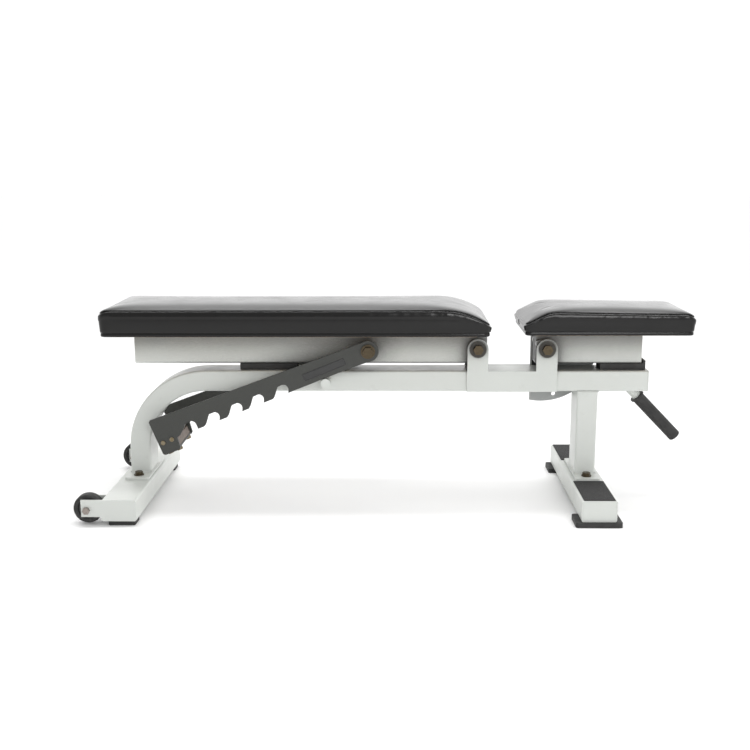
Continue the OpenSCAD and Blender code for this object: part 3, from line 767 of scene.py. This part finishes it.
def make_bead(name, corners, radius, body, material, closed=True):
    """A weld bead: a round cord along a broken line, rippled where each pool of metal set."""
    step, pool_length, sides, end_share = 0.9 * MM, 2.6 * MM, 8, 0.35
    path = resample(corners, step, closed)
    count = len(path)
    points = []
    for i, at in enumerate(path):
        before = path[i - 1] if closed or i else at
        after = path[(i + 1) % count] if closed or i < count - 1 else at
        along = (after - before).normalized()
        across = along.orthogonal().normalized()
        other = along.cross(across)
        pool = abs(math.sin(i * step / pool_length * math.pi))
        wide = radius * (0.86 + 0.16 * pool + 0.12 * noise.noise(at * 260))
        if not closed and i in (0, count - 1):
            wide *= end_share
        for k in range(sides):
            a = 2 * math.pi * k / sides
            points.append(at + (across * math.cos(a) + other * math.sin(a)) * wide)
    faces = tube_faces(count, sides, closed)
    if not closed:
        faces.append(tuple(range(sides))[::-1])
        faces.append(tuple((count - 1) * sides + k for k in range(sides)))
    attach(make_object(name, points, faces, material), body)


# square welds round the post and the leg: ends along X, height, and the bead's radius in mm
SQUARE_WELDS = (
    ("weld_post_top", 0.456, 0.506, 0.2705, 1.7),
    ("weld_post_foot", 0.456, 0.506, 0.0685, 2.3),
    ("weld_leg_foot", -0.628, -0.578, 0.0685, 2.3),
)
TUBE_HALF = 0.04


def make_welds(finishes):
    paint = finishes["frame_paint"]
    for name, low_x, high_x, height, radius in SQUARE_WELDS:
        square = [
            (low_x, -TUBE_HALF, height), (high_x, -TUBE_HALF, height),
            (high_x, TUBE_HALF, height), (low_x, TUBE_HALF, height),
        ]
        make_bead(name, square, radius * MM, "frame", paint)
    low_z, high_z, bead = 0.273, 0.319, 1.3 * MM
    for side, y in (("near", -0.0405), ("far", 0.0405)):
        for end, x in (("back", 0.191), ("seat", 0.406)):
            line = [(x, y, low_z), (x, y, high_z)]
            make_bead(f"weld_bracket_{side}_{end}", line, bead, "frame", paint, closed=False)


def rounded_rectangle(half_u, half_v, radius, turn=5):
    """Points round it anticlockwise, with turn steps in each corner."""
    points = []
    for side_u, side_v, start in ((1, 1, 0), (-1, 1, 90), (-1, -1, 180), (1, -1, 270)):
        for i in range(turn + 1):
            a = math.radians(start + 90 * i / turn)
            u = side_u * (half_u - radius) + radius * math.cos(a)
            v = side_v * (half_v - radius) + radius * math.sin(a)
            points.append((u, v))
    return points


def make_label(finishes):
    """A blank label plate with a raised rim, on the near ladder plate."""
    slope = math.radians(22)
    down = Vector((-math.cos(slope), 0, -math.sin(slope)))
    up = Vector((-math.sin(slope), 0, math.cos(slope)))
    ladder_bolt = Vector((-0.044, -0.076, 0.375))
    middle = ladder_bolt + down * 0.113 - up * 0.002
    half_length, half_width, corner = 53.0, 9.0, 3.2
    # the rim's section: how far in from the outline and how far out from the plate, in mm
    section = [(0.0, -0.2), (0.0, 1.1), (0.4, 1.5), (1.5, 1.5), (1.9, 1.1), (2.0, 0.9)]
    points = []
    for inset, height in section:
        ring = rounded_rectangle(
            (half_length - inset) * MM, (half_width - inset) * MM, corner * MM - inset * 0.6 * MM
        )
        points += [middle + down * u + up * v - Vector((0, height * MM, 0)) for u, v in ring]
    count = len(points) // len(section)
    faces = [(a, d, c, b) for a, b, c, d in tube_faces(len(section), count)]
    faces.append(tuple(range(count)))
    faces.append(tuple(count * (len(section) - 1) + i for i in range(count))[::-1])
    plate = make_object("label_plate", points, faces, finishes["plastic"], smooth=False)
    attach(plate, "ladder")


def make_joint_seam(pad, finishes):
    """The upright joint in the seat's front band: two folded edges with a groove between them."""
    tree = BVHTree.FromPolygons(
        [v.co for v in pad.data.vertices], [f.vertices for f in pad.data.polygons]
    )
    # half of the section: how far from the groove's middle and how proud of the vinyl, in mm
    half_section = [(0.25, -0.5), (0.9, 0.7), (2.2, 1.0), (3.4, 0.5), (4.2, -0.5)]
    section = [(-off, lift) for off, lift in half_section[::-1]] + half_section
    middle, start, missed, thickness = 0.004, 0.2, 0.32, 2.5 * MM
    heights = np.linspace(0.4265, 0.4395, 12)
    front = []
    for z in heights:
        for off, lift in section:
            y = middle + off * MM
            hit = tree.ray_cast(Vector((start, y, z)), Vector((1, 0, 0)))[0]
            front.append((hit or Vector((missed, y, z))) - Vector((lift * MM, 0, 0)))
    points = front + [p + Vector((thickness, 0, 0)) for p in front]
    rows, wide, half = len(heights), len(section), len(front)
    faces = []
    for r in range(rows - 1):
        for c in range(wide - 1):
            a, b = r * wide + c, r * wide + c + 1
            d, e = b + wide, a + wide
            faces.append((a, e, d, b))
            faces.append((half + a, half + b, half + d, half + e))
    rim = list(range(wide)) + [r * wide + wide - 1 for r in range(1, rows)]
    rim += [(rows - 1) * wide + c for c in range(wide - 2, -1, -1)]
    rim += [r * wide for r in range(rows - 2, 0, -1)]
    for a, b in zip(rim, rim[1:] + rim[:1]):
        faces.append((a, b, half + b, half + a))
    attach(make_object("seat_joint_seam", points, faces, finishes["vinyl"]), "seat")


# ---------- scene ----------

make_camera()
make_floor()
make_studio()
finishes = make_finishes()
dress_nodes(finishes)
make_back_pad(finishes)
seat_cover = make_seat_pad(finishes)
make_welds(finishes)
make_label(finishes)
make_joint_seam(seat_cover, finishes)
